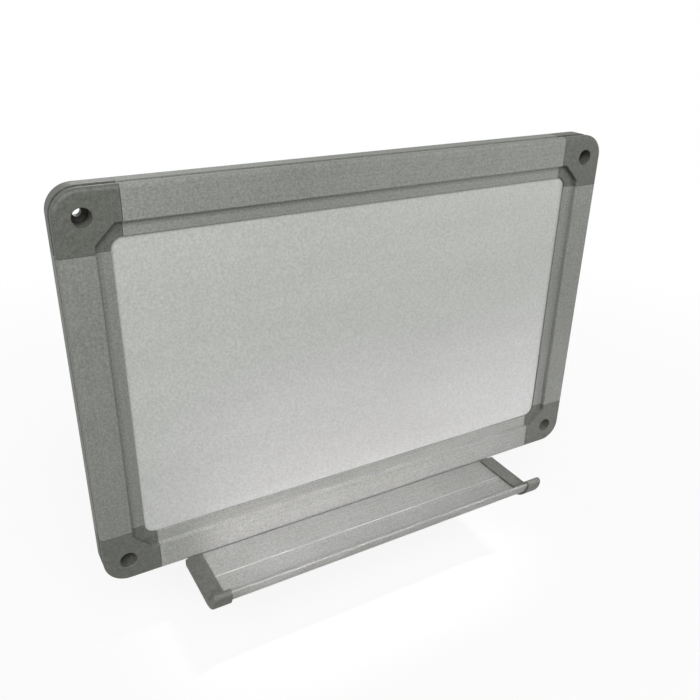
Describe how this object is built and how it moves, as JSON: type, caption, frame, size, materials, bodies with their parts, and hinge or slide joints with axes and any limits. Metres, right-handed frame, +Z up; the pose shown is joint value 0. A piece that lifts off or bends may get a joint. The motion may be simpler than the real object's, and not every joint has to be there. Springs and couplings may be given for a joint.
{
  "type": "magnetic whiteboard",
  "caption": "Small wall whiteboard for pens and magnets, with a stepped aluminium frame, moulded corners that take wall screws, and a pen tray that slides along the lower rail.",
  "frame": {"origin": "middle of the top rail's back face, in the plane of the wall", "axes": "+X to the right of a reader in front of the board, +Y into the wall, +Z up"},
  "size_m": [0.45, 0.0892, 0.3045],
  "materials": {
    "lacquered_steel": "white lacquer, semi-gloss",
    "core_board": "pressed fibreboard, raw",
    "galvanised_steel": "thin zinc-coated sheet, dull",
    "anodised_aluminium": "extruded, satin anodised",
    "grey_plastic": "moulded, finely textured",
    "zinc_plated_steel": "zinc-plated screw"
  },
  "bodies": {
    "board": {"writing_sheet": "lacquered_steel", "core_panel": "core_board", "backing_sheet": "galvanised_steel", "top_rail": "anodised_aluminium", "bottom_rail": "anodised_aluminium", "left_rail": "anodised_aluminium", "right_rail": "anodised_aluminium", "corner_cap_bottom_left": "grey_plastic", "corner_cap_top_left": "grey_plastic", "corner_cap_top_right": "grey_plastic", "corner_cap_bottom_right": "grey_plastic", "corner_screw_bottom_left_a": "zinc_plated_steel", "corner_screw_bottom_left_b": "zinc_plated_steel", "corner_screw_top_left_a": "zinc_plated_steel", "corner_screw_top_left_b": "zinc_plated_steel", "corner_screw_top_right_a": "zinc_plated_steel", "corner_screw_top_right_b": "zinc_plated_steel", "corner_screw_bottom_right_a": "zinc_plated_steel", "corner_screw_bottom_right_b": "zinc_plated_steel"},
    "tray": {"pen_tray": "anodised_aluminium", "tray_end_cap_left": "grey_plastic", "tray_end_cap_right": "grey_plastic"}
  },
  "joints": [
    {"name": "pen_tray_slide", "type": "slide", "parent": "board", "child": "tray", "axis": [1, 0, 0], "range_m": [-0.0212, 0.0442]}
  ]
}
